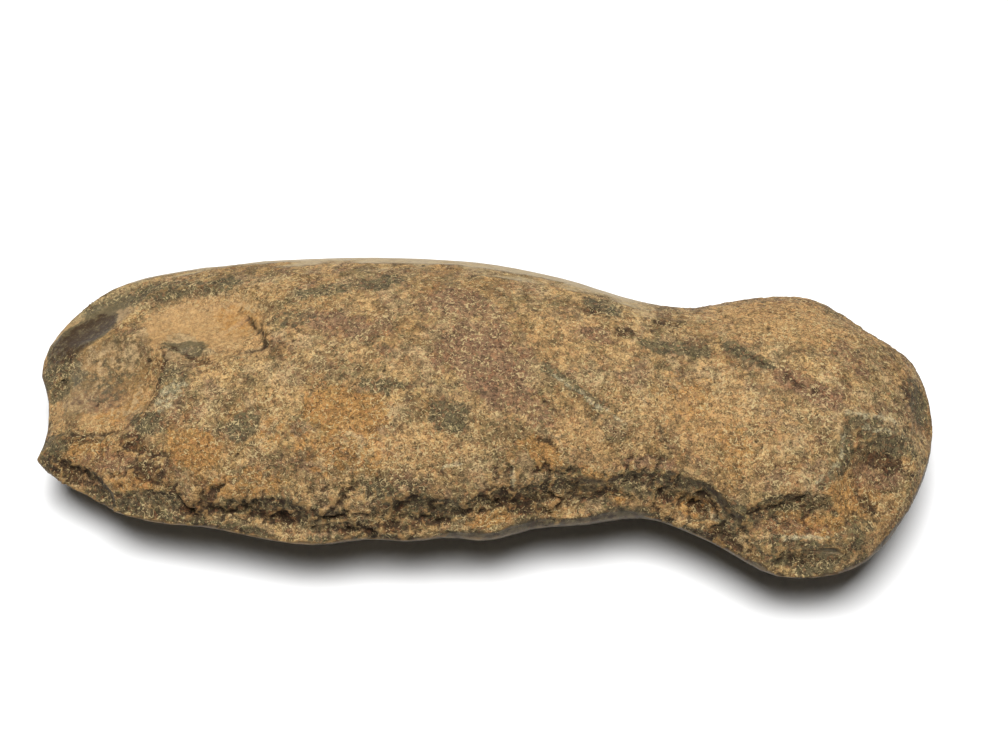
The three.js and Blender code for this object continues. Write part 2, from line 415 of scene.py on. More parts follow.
STAINS = (
    # the ground facet at the far corner of the edge, and the ground rims
    Stain(OLIVE, (-86.9, 8.9), (8.8, 5.2), 42, 1.6, 0.10, 0.1),
    Stain(UMBER, (-86.8, 8.8), (8.6, 5.0), 42, 0.62, 0.12, 0.1),
    Stain(GROUND, (-82.6, 21.0), (12.0, 2.2), 38, 0.9, 0.3, 0.3),
    Stain(OLIVE, (-89.4, -1.6), (5.4, 4.4), 20, 1.1, 0.3, 0.3),
    Stain(OLIVE, (-77.0, -1.4), (8.4, 7.4), 20, 0.5, 0.6),
    Stain(OCHRE, (-77.0, -3.4), (8.0, 9.0), 20, 0.6, 0.6),
    Stain(PLUM, (-78.4, -7.4), (5.4, 3.4), 0, 0.6, 0.6),
    Stain(BARE, (-62.0, 13.0), (12.0, 5.6), 6, 0.75, 0.3, 0.3),
    Stain(BARE, (-52.9, 7.6), (9.2, 6.2), -14, 1.3, 0.2, 0.3),
    Stain(OCHRE, (-52.4, 10.4), (5.6, 3.6), -20, 0.6, 0.6),
    Stain(OLIVE, (-57.0, 20.6), (4.6, 2.4), 20, 0.9, 0.5),
    Stain(OLIVE, (-62.0, 2.7), (5.2, 2.4), -20, 1.0, 0.35),
    Stain(OLIVE, (-63.4, -6.0), (4.0, 4.4), 30, 0.7, 0.5),
    Stain(CHALK, (-62.8, -9.4), (3.8, 2.8), 40, 0.5, 0.5),
    Stain(OLIVE, (-66.5, -15.6), (4.4, 2.2), -24, 1.2, 0.3),
    Stain(OLIVE, (-45.8, -17.5), (3.6, 2.8), 30, 0.9, 0.4),
    # the lumpy near corner of the edge
    Stain(OLIVE, (-89.0, -19.6), (4.8, 4.0), 0, 1.3, 0.4),
    Stain(UMBER, (-84.6, -22.6), (5.4, 1.8), -30, 0.7, 0.5),
    Stain(OCHRE, (-77.0, -21.0), (8.6, 3.2), -4, 0.7, 0.6),
    Stain(UMBER, (-69.3, -19.4), (2.8, 1.8), -30, 1.0, 0.4),
    Stain(UMBER, (-65.0, -25.5), (3.8, 2.0), -20, 0.9, 0.5),
    Stain(OCHRE, (-56.0, -21.2), (6.2, 3.8), -20, 1.1, 0.5),
    Stain(OCHRE, (-70.0, -26.8), (7.4, 2.4), -14, 0.7, 0.5),
    Stain(PLUM, (-74.0, -23.4), (8.0, 3.4), -8, 0.6, 0.6),
    Stain(UMBER, (-55.8, -31.4), (3.0, 1.3), 0, 0.8, 0.4),
    Stain(UMBER, (-36.6, -32.4), (3.4, 1.2), -8, 0.85, 0.4),
    Stain(OCHRE, (-44.0, -28.4), (9.0, 2.6), 0, 0.5, 0.5),
    # the middle of the face
    Stain(OLIVE, (-34.0, 16.8), (6.4, 2.0), 10, 0.9, 0.5),
    Stain(OLIVE, (-22.5, 19.4), (5.2, 2.4), 20, 0.85, 0.5),
    Stain(PLUM, (-5.0, 13.0), (8.0, 5.6), -20, 0.75, 0.5),
    Stain(OLIVE, (-40.0, 8.0), (7.0, 3.0), 0, 0.5, 0.6),
    Stain(PLUM, (-30.0, 6.6), (9.0, 3.4), -6, 0.7, 0.6),
    Stain(PLUM, (0.6, 0.4), (9.6, 7.6), -40, 1.0, 0.5),
    Stain(PLUM, (6.4, -9.0), (5.6, 3.6), -10, 0.8, 0.5),
    Stain(OLIVE, (-19.0, -8.5), (5.2, 1.9), 2, 0.8, 0.5),
    Stain(OCHRE, (-25.5, -14.5), (9.0, 4.2), -10, 1.0, 0.45),
    Stain(OCHRE, (-31.4, -12.4), (2.4, 1.8), 30, 1.2, 0.4),
    Stain(OLIVE, (-4.9, -14.5), (4.8, 2.8), -12, 0.85, 0.4),
    Stain(OCHRE, (-26.0, -22.4), (9.0, 4.4), -10, 0.5, 0.6),
    Stain(OCHRE, (-40.0, -18.6), (6.0, 3.6), 0, 0.4, 0.6),
    Stain(BARE, (-12.0, -20.6), (12.0, 4.0), 0, 0.55, 0.6),
    Stain(PLUM, (13.0, -12.0), (5.0, 3.2), -20, 0.5, 0.6),
    Stain(OCHRE, (14.5, -19.2), (4.2, 2.2), -20, 1.0, 0.5),
    Stain(UMBER, (11.9, -27.2), (4.2, 1.3), 0, 0.8, 0.4),
    Stain(OCHRE, (4.8, -29.6), (5.4, 1.6), 20, 0.8, 0.5),
    Stain(BARE, (17.0, 6.0), (9.0, 8.0), 0, 0.5, 0.7),
    Stain(BARE, (22.0, -15.0), (7.0, 3.6), -20, 0.7, 0.6),
    # the waist
    Stain(OLIVE, (25.4, 17.0), (5.0, 2.2), -24, 0.9, 0.45),
    Stain(UMBER, (22.3, 14.6), (2.4, 1.6), 0, 0.6, 0.4),
    Stain(UMBER, (30.2, 9.5), (2.4, 1.7), 0, 0.8, 0.4),
    Stain(UMBER, (37.1, 13.8), (2.2, 1.5), 0, 0.8, 0.4),
    Stain(PLUM, (23.4, 7.4), (4.6, 2.2), 0, 0.7, 0.5),
    Stain(OCHRE, (43.0, -6.0), (7.0, 6.0), 0, 0.35, 0.7),
    Stain(BARE, (48.0, -9.0), (12.0, 9.0), 0, 0.7, 0.7),
    Stain(OLIVE, (20.4, -21.9), (3.8, 1.6), -10, 0.9, 0.5),
    Stain(OCHRE, (25.4, -22.4), (5.6, 1.7), -4, 1.1, 0.5),
    Stain(PLUM, (36.6, -19.4), (5.4, 2.0), -6, 0.9, 0.5),
    Stain(UMBER, (41.0, -22.8), (5.6, 1.1), -18, 0.4, 0.4),
    Stain(OCHRE, (45.0, -23.6), (4.2, 1.5), -22, 1.0, 0.5),
    Stain(OLIVE, (53.0, -27.2), (3.0, 2.2), -20, 1.0, 0.4),
    Stain(UMBER, (51.0, -29.6), (4.6, 1.2), -34, 0.8, 0.4),
    # the butt
    Stain(PLUM, (77.0, 8.0), (3.0, 5.6), 20, 0.45, 0.5),
    Stain(BARE, (64.0, 18.0), (14.0, 9.0), 0, 0.8, 0.7),
    Stain(BARE, (60.0, -10.0), (11.0, 9.0), 0, 0.4, 0.7),
    Stain(OCHRE, (52.6, -16.0), (4.0, 6.4), 10, 0.4, 0.6),
    Stain(OLIVE, (82.5, -8.8), (8.4, 3.4), -4, 0.7, 0.4, 0.3),
    Stain(OLIVE, (91.5, 3.0), (2.4, 5.4), 10, 0.9, 0.4),
    Stain(UMBER, (88.6, 3.4), (1.8, 3.0), 20, 0.5, 0.5),
    Stain(UMBER, (84.0, -13.2), (5.6, 1.7), 0, 0.7, 0.4),
    Stain(PLUM, (83.0, -15.6), (5.6, 3.0), 20, 0.7, 0.5),
    Stain(OCHRE, (75.0, -24.0), (6.4, 5.0), 30, 0.8, 0.6),
    Stain(OCHRE, (66.6, -27.9), (9.4, 2.2), -4, 0.9, 0.5),
    Stain(PLUM, (64.0, -28.2), (8.0, 1.6), -4, 0.6, 0.5),
    Stain(UMBER, (79.6, -22.0), (2.4, 1.6), -30, 0.8, 0.4),
    Stain(OLIVE, (66.9, -33.0), (9.0, 2.4), -8, 0.9, 0.3),
    Stain(OCHRE, (66.0, -32.6), (6.0, 1.4), -8, 0.7, 0.5),
    Stain(OLIVE, (77.0, -29.0), (6.0, 3.0), 40, 0.7, 0.6),
    # the belly
    Stain(OLIVE, (0.0, 0.0), (100.0, 40.0), 0, 0.55, 0.6, below=True),
    Stain(OCHRE, (-50.0, 6.0), (18.0, 12.0), 10, 0.6, 0.6, below=True),
    Stain(UMBER, (-70.0, -6.0), (14.0, 10.0), -20, 0.5, 0.5, below=True),
    Stain(PLUM, (-10.0, -12.0), (20.0, 8.0), 6, 0.6, 0.6, below=True),
    Stain(UMBER, (20.0, 10.0), (16.0, 8.0), -14, 0.5, 0.5, below=True),
    Stain(BARE, (-14.0, 18.0), (18.0, 8.0), 0, 0.7, 0.5, below=True),
    Stain(OCHRE, (62.0, 4.0), (16.0, 14.0), 0, 0.5, 0.6, below=True),
    Stain(UMBER, (80.0, -12.0), (9.0, 7.0), 50, 0.6, 0.5, below=True),
)

ZONES = (
    Zone(Texture.SMOOTH, (-85.6, 11.4), (12.0, 6.6), 42),
    Zone(Texture.SMOOTH, (-60.0, 9.0), (16.0, 9.6), -4, 0.7),
    Zone(Texture.SMOOTH, (-79.0, -4.0), (12.0, 11.0), 0, 0.6),
    Zone(Texture.ROUGH, (-74.0, -22.0), (14.0, 5.6), -8),
    Zone(Texture.ROUGH, (-48.0, -31.0), (16.0, 3.4), -4),
    Zone(Texture.ROUGH, (-18.0, -31.0), (18.0, 4.4), 2),
    Zone(Texture.ROUGH, (12.0, -25.0), (14.0, 4.6), 12),
    Zone(Texture.ROUGH, (42.0, -24.0), (14.0, 4.4), -22),
    Zone(Texture.ROUGH, (64.0, -29.0), (14.0, 5.4), 4, 0.7),
    Zone(Texture.ROUGH, (81.0, -18.0), (9.0, 11.0), -28, 0.4),
    Zone(Texture.ROUGH, (-84.0, 16.0), (12.0, 8.0), 40, 0.5, below=True),
    Zone(Texture.ROUGH, (80.0, -12.0), (11.0, 8.0), 62, 0.6, below=True),
)

PITS = (
    Pit((57.0, -14.5), 0.5, 0.5),
    Pit((58.2, -15.6), 0.4, 0.4),
    Pit((59.8, 14.1), 0.6, 0.4),
    Pit((-38.4, 2.4), 0.6, 0.35),
    Pit((-79.6, -8.2), 0.7, 0.35),
    Pit((14.2, -9.4), 0.5, 0.35),
)


# ------------------------------------------------------------------ the skin


@dataclass
class Skin:
    """The head's skin as arrays: places in millimetres and the way each one faces."""

    points: np.ndarray
    normals: np.ndarray
    edges: np.ndarray
    trail_pitch: float = 0.4
    face_up: float = 0.05  # a point belongs to the upper face where its normal rises this much
    fade: float = 0.15  # the share of a path over which it fades at each end

    @classmethod
    def read(cls, mesh: bpy.types.Mesh) -> "Skin":
        """Reads a mesh.

        Args:
            mesh: A mesh in metres.

        Returns:
            Its skin.
        """
        count = len(mesh.vertices)
        points, normals = np.empty(count * 3), np.empty(count * 3)
        edges = np.empty(len(mesh.edges) * 2, dtype=np.int64)
        mesh.vertices.foreach_get("co", points)
        mesh.vertices.foreach_get("normal", normals)
        mesh.edges.foreach_get("vertices", edges)
        return cls(points.reshape(-1, 3) / METRE, normals.reshape(-1, 3), edges.reshape(-1, 2))

    @property
    def upper(self) -> np.ndarray:
        """Which points belong to the upper face."""
        return self.normals[:, 2] > self.face_up

    def blur(self, values: np.ndarray, rounds: int) -> np.ndarray:
        """Averages values over neighbouring points.

        Args:
            values: One value or row for each point.
            rounds: How many times.

        Returns:
            The blurred values.
        """
        a, b = self.edges.T
        degree = np.bincount(self.edges.ravel(), minlength=len(self.points)).astype(float)
        rows = values.reshape(len(self.points), -1)
        for _ in range(rounds):
            total = np.stack(
                [
                    np.bincount(a, column[b], len(column)) + np.bincount(b, column[a], len(column))
                    for column in rows.T
                ],
                axis=1,
            )
            rows = 0.5 * rows + 0.5 * total / degree[:, None]
        return rows.reshape(values.shape)

    def drape(self, path: Path) -> np.ndarray:
        """Lays a path on the upper face.

        Args:
            path: The path, in plan.

        Returns:
            Its points in space, close together.
        """
        plan = smooth_path(path, self.trail_pitch)
        upper = self.points[self.upper]
        gaps = np.linalg.norm(upper[None, :, :2] - plan[:, None, :], axis=2)
        level = upper[np.argmin(gaps, axis=1), 2]
        return np.column_stack([plan, level])

    def beside(self, path: Path, reach: float) -> tuple[np.ndarray, np.ndarray, np.ndarray]:
        """Finds the points beside a path.

        Args:
            path: The path, in plan.
            reach: How far from it to look.

        Returns:
            The points' numbers, how far each lies to the left of the path (negative to the
            right), and how strongly the path counts there: it fades out at both its ends.
        """
        trail = self.drape(path)
        low, high = trail.min(axis=0) - reach, trail.max(axis=0) + reach
        inside = self.upper & ((self.points > low) & (self.points < high)).all(axis=1)
        near = np.flatnonzero(inside)
        offsets = self.points[near][:, None, :] - trail[None, :, :]
        gaps = np.linalg.norm(offsets, axis=2)
        nearest = np.argmin(gaps, axis=1)
        rows = np.arange(len(near))
        heading = np.gradient(trail, axis=0)[nearest]
        turn = (np.cross(heading, offsets[rows, nearest]) * self.normals[near]).sum(axis=1)
        aside = gaps[rows, nearest] * np.where(turn < 0, -1.0, 1.0)
        share = nearest / (len(trail) - 1)
        fade = smoothstep(0.0, self.fade, share) * smoothstep(0.0, self.fade, 1.0 - share)
        return near, aside, fade

    def oval(self, at: tuple[float, float], size: tuple[float, float], turn: float) -> np.ndarray:
        """Distance of each point from an oval's middle, in plan.

        Args:
            at: The oval's middle.
            size: Its half length and half width.
            turn: Its direction, in degrees.

        Returns:
            0 in the middle and 1 on the oval.
        """
        angle = math.radians(turn)
        x, y = (self.points[:, :2] - at).T
        length = (x * math.cos(angle) + y * math.sin(angle)) / size[0]
        width = (y * math.cos(angle) - x * math.sin(angle)) / size[1]
        return np.hypot(length, width)


# ------------------------------------------------------------------ the carving


@dataclass
class Carving:
    """The relief that is finer than the solid, as a height above its skin.

    A number that is added to the points only picks another pattern of the same noise.
    """

    skin: Skin
    seed: int = 11
    swell: float = 0.35  # height of the broad unevenness
    swell_size: float = 13.0
    grain: float = 0.16  # height of the grain of pecked stone
    grain_size: float = 1.9
    peck: float = 0.10  # height of the small chips over all of the face
    hackle: float = 0.30  # height of the chips of broken stone, as a share of their width
    hackle_sizes: tuple[float, float] = (4.6, 2.1)
    pit_count: int = 110
    zone_ragged: float = 0.35
    zone_lumps: float = 7.0
    polish_ragged: float = 0.14
    polish_lumps: float = 9.0
    rim_level: tuple[float, float] = (0.88, 0.74)  # how far up the skin faces where the rim begins
    rim_lean: tuple[float, float] = (0.25, 0.45)  # how far it faces the far side there
    rim_end: tuple[float, float] = (42.0, 26.0)
    flank_level: tuple[float, float] = (0.50, 0.28)
    near_lean: tuple[float, float] = (0.52, 0.8)
    noise: StoneNoise = field(init=False)
    earth_and_shade: np.ndarray = field(init=False)  # darkening that the carving holds: painted shadow under the steps, earth and painted shade in the cracks, pits and rough, and painted shade on the near side

    def __post_init__(self) -> None:
        """Makes the noise and the empty mask of earth and painted shade."""
        self.noise = StoneNoise(self.seed)
        self.earth_and_shade = np.zeros(len(self.skin.points))

    def textures(self) -> dict[Texture, np.ndarray]:
        """How rough and how smooth the skin is.

        Returns:
            One mask for each texture.
        """
        skin = self.skin
        edge = self.zone_ragged * self.noise.fractal(skin.points + 91.0, self.zone_lumps)
        masks = {texture: np.zeros(len(skin.points)) for texture in Texture}
        for zone in ZONES:
            reach = skin.oval(zone.at, zone.size, zone.turn) + edge
            mask = zone.strength * (1.0 - smoothstep(0.6, 1.15, reach))
            mask[skin.upper == zone.below] = 0.0
            masks[zone.texture] = np.maximum(masks[zone.texture], mask)
        ground = 0.8 * smoothstep(-0.05, -0.35, skin.normals[:, 2])
        masks[Texture.SMOOTH] = np.maximum.reduce([masks[Texture.SMOOTH], ground, *self.polish()])
        masks[Texture.SMOOTH] *= 1.0 - masks[Texture.ROUGH]
        return masks

    def polish(self) -> tuple[np.ndarray, np.ndarray]:
        """The far rim and the flanks all round, which keep their first polish.

        Returns:
            Two masks, each 1 on its polish and 0 away from it.
        """
        skin = self.skin
        wander = self.noise.fractal(skin.points + 43.0, self.polish_lumps, 4)
        level = skin.normals[:, 2] + self.polish_ragged * wander
        far = smoothstep(*self.rim_level, level) * smoothstep(*self.rim_lean, skin.normals[:, 1])
        far *= smoothstep(*self.rim_end, skin.points[:, 0])
        return far, smoothstep(*self.flank_level, level)

    def near_side_shade(self) -> np.ndarray:
        """Where the skin above the edge leans to the near side, which is darkened there as painted
        shade.
        """
        lean = -self.skin.normals[:, 1] + 0.2 * self.noise.fractal(self.skin.points + 57.0, 6.0)
        return smoothstep(*self.near_lean, lean) * self.skin.upper

    def ledges(self) -> np.ndarray:
        """The steps, and the painted shadow under them."""
        height = np.zeros(len(self.skin.points))
        for ledge in LEDGES:
            near, aside, fade = self.skin.beside(ledge.path, ledge.spread * 2.5)
            places = self.skin.points[near]
            aside = aside + ledge.ragged * self.noise.fractal(places, 2.2)
            low = smoothstep(-ledge.sharp / 2, ledge.sharp / 2, aside)
            back = np.exp(-np.maximum(aside, 0.0) / ledge.spread)
            height[near] -= ledge.height * low * back * fade
            patchy = smoothstep(-0.5, 0.4, self.noise.at(places + 61.0, 3.0))
            shade = ledge.earth_and_shade * patchy * fade * np.exp(-(((aside - 0.15) / 0.7) ** 2))
            self.earth_and_shade[near] = np.maximum(self.earth_and_shade[near], shade)
        return height

    def crevices(self) -> np.ndarray:
        """The cracks and ribs, and the darkening in the cracks, partly earth and partly painted
        shade.
        """
        height = np.zeros(len(self.skin.points))
        for crevice in CREVICES:
            near, aside, fade = self.skin.beside(crevice.path, crevice.width * 4.0)
            places = self.skin.points[near]
            aside = aside + crevice.ragged * self.noise.fractal(places + 17.0, 2.6)
            patchy = 0.6 + 0.9 * self.noise.at(places + 29.0, 3.4)
            cut = patchy * fade * np.exp(-((aside / crevice.width) ** 2))
            height[near] -= crevice.depth * cut
            shade = crevice.earth_and_shade * fade * np.exp(-((aside / (1.3 * crevice.width)) ** 2))
            self.earth_and_shade[near] = np.maximum(self.earth_and_shade[near], shade * np.clip(patchy, 0.0, 1.0))
        return height

    def pits(self) -> np.ndarray:
        """The named pits and a seeded scatter of smaller ones."""
        skin = self.skin
        generator = np.random.default_rng(self.seed)
        height = np.zeros(len(skin.points))
        upper = skin.points[skin.upper]
        holes = []
        for pit in PITS:
            nearest = np.argmin(np.hypot(*(upper[:, :2] - pit.at).T))
            holes.append((upper[nearest], pit.radius, pit.depth))
        for spot in generator.choice(len(skin.points), self.pit_count, replace=False):
            radius = generator.uniform(0.4, 0.75)
            holes.append((skin.points[spot], radius, radius * generator.uniform(0.25, 0.5)))
        for middle, radius, depth in holes:
            near = np.flatnonzero((np.abs(skin.points - middle) < 2.5 * radius).all(axis=1))
            gap = np.linalg.norm(skin.points[near] - middle, axis=1) / radius
            cut = np.exp(-(gap**2))
            height[near] -= depth * cut
            # darkens each pit, partly earth and partly painted shade
            self.earth_and_shade[near] = np.maximum(self.earth_and_shade[near], 0.6 * cut)
        return height

    def height(self) -> np.ndarray:
        """All of the relief.

        Returns:
            How far each point rises from the solid's skin, in millimetres.
        """
        skin, noise = self.skin, self.noise
        masks = self.textures()
        rough, smooth = masks[Texture.ROUGH], masks[Texture.SMOOTH]
        starts = [skin.points + 5.0 + 31.0 * axis for axis in range(3)]
        drift = np.stack([noise.fractal(start, 3.6, 3) for start in starts], axis=1)
        warped = skin.points + 1.3 * drift
        large, small = self.hackle_sizes
        chips = large * noise.facets(warped, large) + small * noise.facets(warped + 13.0, small)
        total = self.swell * noise.fractal(skin.points, self.swell_size, 3) * (1.0 - 0.5 * smooth)
        total += self.grain * noise.fractal(warped, self.grain_size, 2) * (1.0 - 0.9 * smooth)
        plain = (1.0 - smooth) * (1.0 - rough)
        total += self.peck * small * noise.facets(warped + 47.0, small) * plain
        total += self.hackle * chips * rough
        total += self.ledges() + self.crevices()
        total += self.pits() * (1.0 - 0.8 * smooth)
        # darkens the low pockets between the chips of the rough, partly earth and partly painted
        # shade
        pocket = smoothstep(-0.5, -1.8, chips)
        pocket *= smoothstep(-0.2, 0.3, noise.at(skin.points + 77.0, 5.0))
        self.earth_and_shade = np.maximum(self.earth_and_shade, 0.7 * rough * pocket)
        return total


@dataclass
class Staining:
    """The pigments on the skin, one mask each."""

    skin: Skin
    seed: int = 23
    fringe_size: float = 5.2
    reach: float = 2.6  # how many times its own size a stain may wander
    # On the steep flanks all round: olive, partly the ground stone's own grey-green and partly
    # painted shade, and umber as painted shade.
    flank_olive_shade: float = 0.95
    flank_shade: float = 0.4

    def masks(
        self, earth_and_shade: np.ndarray, rim: np.ndarray, flank: np.ndarray
    ) -> dict[Pigment, np.ndarray]:
        """Lays every stain and streak.

        Args:
            earth_and_shade: The dark earth and the painted shade that the carving holds.
            rim: The polish of the far rim.
            flank: The polish of the flanks.

        Returns:
            One mask for each pigment, from 0 to 1.
        """
        skin, noise = self.skin, StoneNoise(self.seed)
        fringe = 1.6 * noise.fractal(skin.points, self.fringe_size, 4)
        masks = {pigment: np.zeros(len(skin.points)) for pigment in Pigment}
        for number, stain in enumerate(STAINS):
            reach = skin.oval(stain.at, stain.size, stain.turn)
            near = np.flatnonzero((reach < self.reach) & (skin.upper != stain.below))
            lumps = 0.9 * min(stain.size) + 1.6
            wander = noise.fractal(skin.points[near] + 7.0 * number, lumps, 4) + 0.5 * fringe[near]
            torn = reach[near] + stain.ragged * wander
            mask = stain.strength * (1.0 - smoothstep(1.0 - stain.soft, 1.0 + stain.soft, torn))
            held = masks[stain.pigment]
            held[near] = np.maximum(held[near], mask)
        for streak in STREAKS:
            near, aside, fade = skin.beside(streak.path, streak.width * 3.0)
            aside = aside + streak.ragged * fringe[near]
            mask = streak.strength * fade * np.exp(-((aside / streak.width) ** 2))
            masks[streak.pigment][near] = np.maximum(masks[streak.pigment][near], mask)
        # the earth and the painted shade that the carving holds turn umber
        masks[UMBER] = np.maximum(masks[UMBER], earth_and_shade)
        masks[GROUND] = np.maximum(masks[GROUND], rim)
        # Painted shade on the flanks: they are darkened with olive and umber; the olive is partly
        # the ground stone's own grey-green.
        masks[OLIVE] = np.maximum(masks[OLIVE], self.flank_olive_shade * flank)
        masks[UMBER] = np.maximum(masks[UMBER], self.flank_shade * flank)
        return masks


# ------------------------------------------------------------------ finishes


def linear(name: str) -> tuple[float, float, float, float]:
    """A colour as the renderer keeps it.

    Args:
        name: The colour as six hexadecimal digits.

    Returns:
        Its linear red, green and blue, and full opacity.
    """
    shares = [int(name[i : i + 2], 16) / 255 for i in (0, 2, 4)]
    red, green, blue = (s / 12.92 if s <= 0.04045 else ((s + 0.055) / 1.055) ** 2.4 for s in shares)
    return red, green, blue, 1.0


class NodeSheet:
    """Places and joins the nodes of one material or group."""

    MIX_FACTOR, MIX_A, MIX_B, MIX_RESULT = 0, 6, 7, 2

    def __init__(self, tree: bpy.types.NodeTree) -> None:
        """Clears a tree.

        Args:
            tree: The tree to draw on.
        """
        self.tree = tree
        tree.nodes.clear()

    def put(self, socket: bpy.types.NodeSocket, value: object) -> None:
        """Joins a socket to another, or sets its value.

        Args:
            socket: The input socket.
            value: An output socket or a plain value.
        """
        if isinstance(value, bpy.types.NodeSocket):
            self.tree.links.new(value, socket)
        else:
            socket.default_value = value

    def node(self, kind: str, inputs: dict | None = None, **settings: object) -> bpy.types.Node:
        """Adds a node.

        Args:
            kind: The node's type name.
            inputs: What goes into its sockets, by name or number.
            **settings: Its own settings.

        Returns:
            The node.
        """
        made = self.tree.nodes.new(kind)
        for name, value in settings.items():
            setattr(made, name, value)
        for key, value in (inputs or {}).items():
            self.put(made.inputs[key], value)
        return made

    def math(self, operation: str, a: object, b: object = 0.0) -> bpy.types.NodeSocket:
        """Adds arithmetic on one or two numbers."""
        return self.node("ShaderNodeMath", {0: a, 1: b}, operation=operation).outputs[0]

    def ease(
        self, value: object, low: object, high: object, to: tuple[float, float] = (0, 1)
    ) -> bpy.types.NodeSocket:
        """Eases a number from one range to another.

        Args:
            value: The number.
            low: Where the ease starts.
            high: Where it ends.
            to: What it eases from and to.

        Returns:
            The eased number.
        """
        inputs = {"Value": value, "From Min": low, "From Max": high}
        inputs |= {"To Min": to[0], "To Max": to[1]}
        return self.node("ShaderNodeMapRange", inputs, interpolation_type="SMOOTHSTEP").outputs[0]

    def mix(
        self, factor: object, a: object, b: object, blend: str = "MIX"
    ) -> bpy.types.NodeSocket:
        """Mixes two colours.

        Args:
            factor: How much of the second.
            a: The first.
            b: The second.
            blend: How they mix.

        Returns:
            The mixed colour.
        """
        inputs = {self.MIX_FACTOR: factor, self.MIX_A: a, self.MIX_B: b}
        made = self.node("ShaderNodeMix", inputs, data_type="RGBA", blend_type=blend)
        return made.outputs[self.MIX_RESULT]

    def noise(
        self, place: object, lumps: float, detail: float = 3.0, warp: float = 0.0
    ) -> bpy.types.NodeSocket:
        """Adds noise.

        Args:
            place: Where it is read.
            lumps: How wide one lump is, in millimetres.
            detail: How many finer layers it has.
            warp: How much it is distorted.

        Returns:
            The noise, from 0 to 1.
        """
        inputs = {"Vector": place, "Scale": 1.0 / (lumps * METRE)}
        inputs |= {"Detail": detail, "Distortion": warp}
        return self.node("ShaderNodeTexNoise", inputs).outputs[0]

    def shifted(self, place: object, by: float) -> bpy.types.NodeSocket:
        """Moves a place, so that the same noise gives another pattern."""
        move = (by * METRE, 1.7 * by * METRE, -0.6 * by * METRE)
        return self.vector("ADD", place, move)

    def vector(self, operation: str, a: object, b: object) -> bpy.types.NodeSocket:
        """Adds arithmetic on two vectors."""
        return self.node("ShaderNodeVectorMath", {0: a, 1: b}, operation=operation).outputs[0]


def group(name: str, inputs: dict[str, tuple[str, object]], outputs: dict[str, str]) -> tuple:
    """Starts a shader node group.

    Args:
        name: The group's name.
        inputs: Socket kind and starting value of each input, by name.
        outputs: Socket kind of each output, by name.

    Returns:
        The group's sheet, its input node and its output node.
    """
    tree = bpy.data.node_groups.new(name, "ShaderNodeTree")
    sheet = NodeSheet(tree)
    for label, (kind, start) in inputs.items():
        socket = tree.interface.new_socket(label, in_out="INPUT", socket_type=kind)
        if start is not None:
            socket.default_value = start
    for label, kind in outputs.items():
        tree.interface.new_socket(label, in_out="OUTPUT", socket_type=kind)
    return sheet, sheet.node("NodeGroupInput"), sheet.node("NodeGroupOutput")


